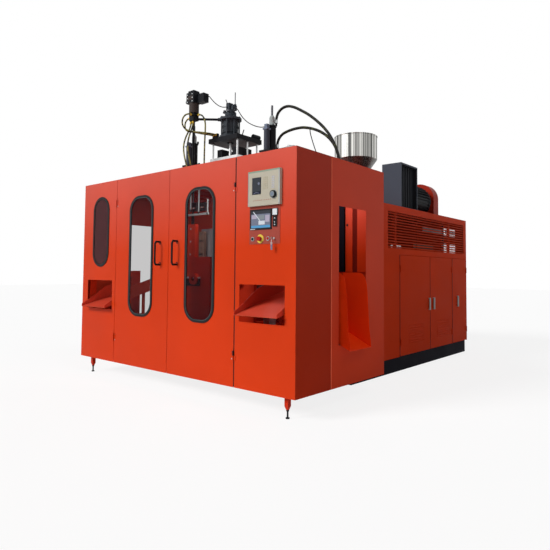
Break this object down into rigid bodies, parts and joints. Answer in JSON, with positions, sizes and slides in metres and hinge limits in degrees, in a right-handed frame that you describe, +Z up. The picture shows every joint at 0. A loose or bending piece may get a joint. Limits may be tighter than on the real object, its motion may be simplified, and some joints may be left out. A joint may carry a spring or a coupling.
{
  "type": "blow moulding machine",
  "caption": "Extrusion blow moulding machine with a windowed front cabinet, chutes, operator panel, head, hopper, extruder and a long louvred rear unit.",
  "frame": {"origin": "on the floor, under the middle of the machine's overall box", "axes": "+X to the operator's right, +Y from the front doors to the rear end, +Z up"},
  "size_m": [3.542, 5.085, 3.388],
  "materials": {
    "cabinet_paint": "semi-gloss orange-red enamel",
    "frame_paint": "semi-gloss red enamel",
    "rear_paint": "semi-gloss red enamel",
    "black_paint": "satin black enamel",
    "grey_paint": "satin grey-blue enamel",
    "gear_paint": "satin dark enamel",
    "controller_paint": "satin beige enamel",
    "plate_paint": "satin faded red",
    "black_plastic": "matt",
    "screen_plastic": "gloss",
    "red_plastic": "gloss",
    "rubber": "matt",
    "hose_rubber": "satin",
    "tinted_pane": "tinted clear acrylic",
    "machined_steel": "ground",
    "dark_steel": "heat-darkened",
    "stainless": "satin stainless",
    "mould_metal": "machined"
  },
  "bodies": {
    "machine": {"machine_bed": "frame_paint", "upper_frame": "frame_paint", "levelling_feet": "black_paint", "left_front_panel": "cabinet_paint", "control_front_panel": "cabinet_paint", "right_corner_panel": "cabinet_paint", "right_side_panel": "cabinet_paint", "left_side_panel": "cabinet_paint", "roof_panel": "cabinet_paint", "back_panel": "cabinet_paint", "side_window_seal": "rubber", "side_window_pane": "tinted_pane", "parison_controller": "controller_paint", "operator_plate": "plate_paint", "touch_screen": "screen_plastic", "front_chutes": "cabinet_paint", "side_chutes": "cabinet_paint", "die_head": "dark_steel", "head_stand": "machined_steel", "head_cylinder": "dark_steel", "valve_tower": "black_paint", "left_blow_cylinder": "black_paint", "right_blow_cylinder": "black_paint", "extruder_barrel": "dark_steel", "hopper": "stainless", "gearbox": "gear_paint", "main_motor": "black_paint", "belt_guard": "rear_paint", "ventilation_box": "grey_paint", "rear_base": "black_paint", "rear_cabinet": "rear_paint", "louvre_panel": "rear_paint", "upper_hose": "hose_rubber", "lower_hose": "hose_rubber", "tower_hoses": "hose_rubber", "thin_cables": "hose_rubber"},
    "left_door_body": {"left_door": "cabinet_paint", "left_door_seal": "rubber", "left_door_pane": "tinted_pane"},
    "right_door_body": {"right_door": "cabinet_paint", "right_door_seal": "rubber", "right_door_pane": "tinted_pane"},
    "knob_body": {"parison_knob": "black_plastic"},
    "stop_body": {"emergency_stop": "red_plastic"},
    "black_button_body": {"black_button": "black_plastic"},
    "red_button_body": {"red_button": "red_plastic"},
    "key_body": {"key_switch": "machined_steel"},
    "mandrel_body": {"die_mandrel": "machined_steel"},
    "left_pin_body": {"left_blow_pin": "machined_steel"},
    "right_pin_body": {"right_blow_pin": "machined_steel"},
    "left_carriage_body": {"left_carriage": "frame_paint"},
    "left_front_body": {"left_front_mould": "mould_metal"},
    "left_rear_body": {"left_rear_mould": "mould_metal"},
    "right_carriage_body": {"right_carriage": "frame_paint"},
    "right_front_body": {"right_front_mould": "mould_metal"},
    "right_rear_body": {"right_rear_mould": "mould_metal"},
    "screw_body": {"extruder_screw": "machined_steel"},
    "rear_left_door_body": {"rear_left_door": "rear_paint"},
    "rear_right_door_body": {"rear_right_door": "rear_paint"},
    "rear_end_door_body": {"rear_end_door": "rear_paint"}
  },
  "joints": [
    {"name": "left_door_hinge", "type": "hinge", "parent": "machine", "child": "left_door_body", "pos_m": [-0.966, -2.4655, 1.24], "axis": [0, 0, -1], "range_deg": [0, 110]},
    {"name": "right_door_hinge", "type": "hinge", "parent": "machine", "child": "right_door_body", "pos_m": [0.966, -2.4655, 1.24], "axis": [0, 0, 1], "range_deg": [0, 110]},
    {"name": "rear_left_door_hinge", "type": "hinge", "parent": "machine", "child": "rear_left_door_body", "pos_m": [1.263, 0.2355, 0.825], "axis": [0, 0, -1], "range_deg": [0, 110]},
    {"name": "rear_right_door_hinge", "type": "hinge", "parent": "machine", "child": "rear_right_door_body", "pos_m": [1.263, 1.9205, 0.825], "axis": [0, 0, 1], "range_deg": [0, 110]},
    {"name": "rear_end_door_hinge", "type": "hinge", "parent": "machine", "child": "rear_end_door_body", "pos_m": [1.263, 2.5135, 0.825], "axis": [0, 0, 1], "range_deg": [0, 110]},
    {"name": "parison_knob_turn", "type": "hinge", "parent": "machine", "child": "knob_body", "pos_m": [1.452, -2.5075, 1.9], "axis": [0, 1, 0], "continuous": true},
    {"name": "emergency_stop_push", "type": "slide", "parent": "machine", "child": "stop_body", "axis": [0, 1, 0], "range_m": [0, 0.006]},
    {"name": "black_button_push", "type": "slide", "parent": "machine", "child": "black_button_body", "axis": [0, 1, 0], "range_m": [0, 0.004], "stiffness_N_per_m": 900},
    {"name": "red_button_push", "type": "slide", "parent": "machine", "child": "red_button_body", "axis": [0, 1, 0], "range_m": [0, 0.004], "stiffness_N_per_m": 900},
    {"name": "key_switch_turn", "type": "hinge", "parent": "machine", "child": "key_body", "pos_m": [1.44, -2.4675, 1.522], "axis": [0, 1, 0], "range_deg": [0, 90]},
    {"name": "die_gap_slide", "type": "slide", "parent": "machine", "child": "mandrel_body", "axis": [0, 0, 1], "range_m": [-0.012, 0.012]},
    {"name": "left_blow_pin_slide", "type": "slide", "parent": "machine", "child": "left_pin_body", "axis": [0, 0, 1], "range_m": [-0.17, 0]},
    {"name": "right_blow_pin_slide", "type": "slide", "parent": "machine", "child": "right_pin_body", "axis": [0, 0, 1], "range_m": [-0.17, 0]},
    {"name": "left_carriage_slide", "type": "slide", "parent": "machine", "child": "left_carriage_body", "axis": [1, 0, 0], "range_m": [-0.645, 0]},
    {"name": "right_carriage_slide", "type": "slide", "parent": "machine", "child": "right_carriage_body", "axis": [1, 0, 0], "range_m": [-0.645, 0]},
    {"name": "left_front_mould_slide", "type": "slide", "parent": "left_carriage_body", "child": "left_front_body", "axis": [0, 1, 0], "range_m": [0, 0.075]},
    {"name": "left_rear_mould_slide", "type": "slide", "parent": "left_carriage_body", "child": "left_rear_body", "axis": [0, 1, 0], "range_m": [-0.075, 0]},
    {"name": "right_front_mould_slide", "type": "slide", "parent": "right_carriage_body", "child": "right_front_body", "axis": [0, 1, 0], "range_m": [0, 0.075]},
    {"name": "right_rear_mould_slide", "type": "slide", "parent": "right_carriage_body", "child": "right_rear_body", "axis": [0, 1, 0], "range_m": [-0.075, 0]},
    {"name": "extruder_screw_turn", "type": "hinge", "parent": "machine", "child": "screw_body", "pos_m": [0, -0.0575, 2.42], "axis": [0, 1, 0], "continuous": true}
  ],
  "couplings": [
    {"joint": "right_carriage_slide", "follows": "left_carriage_slide", "ratio": 1},
    {"joint": "left_rear_mould_slide", "follows": "left_front_mould_slide", "ratio": -1},
    {"joint": "right_rear_mould_slide", "follows": "right_front_mould_slide", "ratio": -1}
  ]
}
